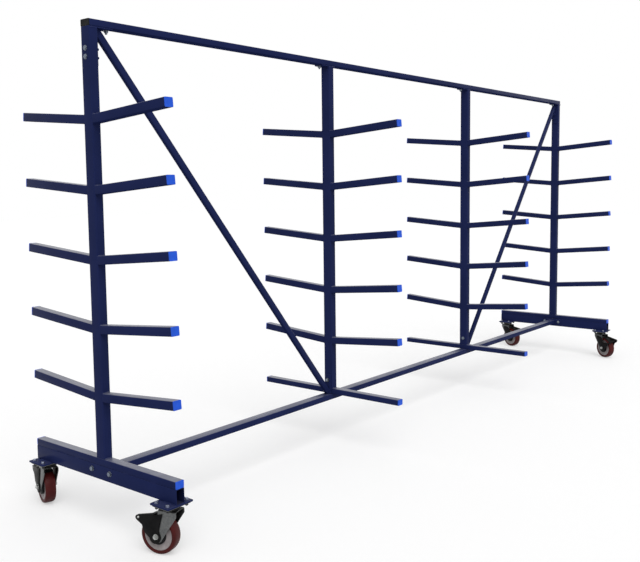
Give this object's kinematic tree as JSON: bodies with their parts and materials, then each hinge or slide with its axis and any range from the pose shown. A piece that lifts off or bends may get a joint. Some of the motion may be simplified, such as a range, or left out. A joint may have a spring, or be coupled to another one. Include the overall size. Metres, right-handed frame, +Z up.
{
  "type": "mobile cantilever storage rack",
  "caption": "Mobile double-sided arm rack for long bars, profiles and boards: posts with upward-tilted capped arms, tied by rails and diagonal braces, on braked swivel casters.",
  "frame": {"origin": "on the floor under the middle of the frame", "axes": "+X along the rails, +Y across the rack along the arms, +Z up"},
  "size_m": [4.6392, 1.0857, 2.03],
  "materials": {
    "navy_paint": "glossy dark blue paint on steel tube",
    "blue_plastic": "bright blue moulded tube plugs",
    "black_plastic": "black moulded tube plugs",
    "zinc": "bright zinc plate on pressed steel",
    "black_steel": "black coated pressed steel",
    "grey_core": "light grey moulded wheel core",
    "red_tread": "dark red polyurethane tread"
  },
  "bodies": {
    "frame": {"upright_1": "navy_paint", "upright_2": "navy_paint", "upright_3": "navy_paint", "upright_4": "navy_paint", "top_rail": "navy_paint", "rail_plug_left": "black_plastic", "rail_plug_right": "black_plastic", "foot_bar_left": "navy_paint", "foot_beam_left": "navy_paint", "foot_bar_left_cap_near": "blue_plastic", "caster_pad_near_left": "navy_paint", "foot_bar_left_cap_far": "blue_plastic", "caster_pad_far_left": "navy_paint", "foot_bar_right": "navy_paint", "foot_beam_right": "navy_paint", "foot_bar_right_cap_near": "blue_plastic", "caster_pad_near_right": "navy_paint", "foot_bar_right_cap_far": "blue_plastic", "caster_pad_far_right": "navy_paint", "level_bar_2": "navy_paint", "level_bar_2_cap_near": "blue_plastic", "level_bar_2_cap_far": "blue_plastic", "level_bar_3": "navy_paint", "level_bar_3_cap_near": "blue_plastic", "level_bar_3_cap_far": "blue_plastic", "bottom_rail": "navy_paint", "brace_left": "navy_paint", "brace_right": "navy_paint", "caster_plate_near_left": "zinc", "caster_plate_far_left": "zinc", "caster_plate_near_right": "zinc", "caster_plate_far_right": "zinc"},
    "swivel_near_left": {"caster_fork_near_left": "zinc", "swivel_race_near_left": "zinc", "axle_bolt_near_left": "zinc", "bearing_sleeve_near_left": "zinc"},
    "wheel_near_left": {"wheel_core_near_left": "grey_core", "tread_near_left": "red_tread"},
    "brake_near_left": {"brake_lever_near_left": "black_steel"},
    "swivel_far_left": {"caster_fork_far_left": "zinc", "swivel_race_far_left": "zinc", "axle_bolt_far_left": "zinc", "bearing_sleeve_far_left": "zinc"},
    "wheel_far_left": {"wheel_core_far_left": "grey_core", "tread_far_left": "red_tread"},
    "brake_far_left": {"brake_lever_far_left": "black_steel"},
    "swivel_near_right": {"caster_fork_near_right": "zinc", "swivel_race_near_right": "zinc", "axle_bolt_near_right": "zinc", "bearing_sleeve_near_right": "zinc"},
    "wheel_near_right": {"wheel_core_near_right": "grey_core", "tread_near_right": "red_tread"},
    "brake_near_right": {"brake_lever_near_right": "black_steel"},
    "swivel_far_right": {"caster_fork_far_right": "zinc", "swivel_race_far_right": "zinc", "axle_bolt_far_right": "zinc", "bearing_sleeve_far_right": "zinc"},
    "wheel_far_right": {"wheel_core_far_right": "grey_core", "tread_far_right": "red_tread"},
    "brake_far_right": {"brake_lever_far_right": "black_steel"}
  },
  "joints": [
    {"name": "swivel_turn_near_left", "type": "hinge", "parent": "frame", "child": "swivel_near_left", "pos_m": [-2.25, -0.4, 0.185], "axis": [0, 0, 1], "continuous": true},
    {"name": "wheel_spin_near_left", "type": "hinge", "parent": "swivel_near_left", "child": "wheel_near_left", "pos_m": [-2.26462, -0.35218, 0.075], "axis": [-0.9563, -0.2924, 0], "continuous": true},
    {"name": "brake_press_near_left", "type": "hinge", "parent": "swivel_near_left", "child": "brake_near_left", "pos_m": [-2.26462, -0.35218, 0.075], "axis": [-0.9563, -0.2924, 0], "range_deg": [0, 12]},
    {"name": "swivel_turn_far_left", "type": "hinge", "parent": "frame", "child": "swivel_far_left", "pos_m": [-2.25, 0.4, 0.185], "axis": [0, 0, 1], "continuous": true},
    {"name": "wheel_spin_far_left", "type": "hinge", "parent": "swivel_far_left", "child": "wheel_far_left", "pos_m": [-2.23455, 0.44755, 0.075], "axis": [-0.9511, 0.309, 0], "continuous": true},
    {"name": "brake_press_far_left", "type": "hinge", "parent": "swivel_far_left", "child": "brake_far_left", "pos_m": [-2.23455, 0.44755, 0.075], "axis": [-0.9511, 0.309, 0], "range_deg": [0, 12]},
    {"name": "swivel_turn_near_right", "type": "hinge", "parent": "frame", "child": "swivel_near_right", "pos_m": [2.25, -0.4, 0.185], "axis": [0, 0, 1], "continuous": true},
    {"name": "wheel_spin_near_right", "type": "hinge", "parent": "swivel_near_right", "child": "wheel_near_right", "pos_m": [2.22653, -0.44415, 0.075], "axis": [0.8829, -0.4695, 0], "continuous": true},
    {"name": "brake_press_near_right", "type": "hinge", "parent": "swivel_near_right", "child": "brake_near_right", "pos_m": [2.22653, -0.44415, 0.075], "axis": [0.8829, -0.4695, 0], "range_deg": [0, 12]},
    {"name": "swivel_turn_far_right", "type": "hinge", "parent": "frame", "child": "swivel_far_right", "pos_m": [2.25, 0.4, 0.185], "axis": [0, 0, 1], "continuous": true},
    {"name": "wheel_spin_far_right", "type": "hinge", "parent": "swivel_far_right", "child": "wheel_far_right", "pos_m": [2.2329, 0.35302, 0.075], "axis": [0.9397, -0.342, 0], "continuous": true},
    {"name": "brake_press_far_right", "type": "hinge", "parent": "swivel_far_right", "child": "brake_far_right", "pos_m": [2.2329, 0.35302, 0.075], "axis": [0.9397, -0.342, 0], "range_deg": [0, 12]}
  ]
}
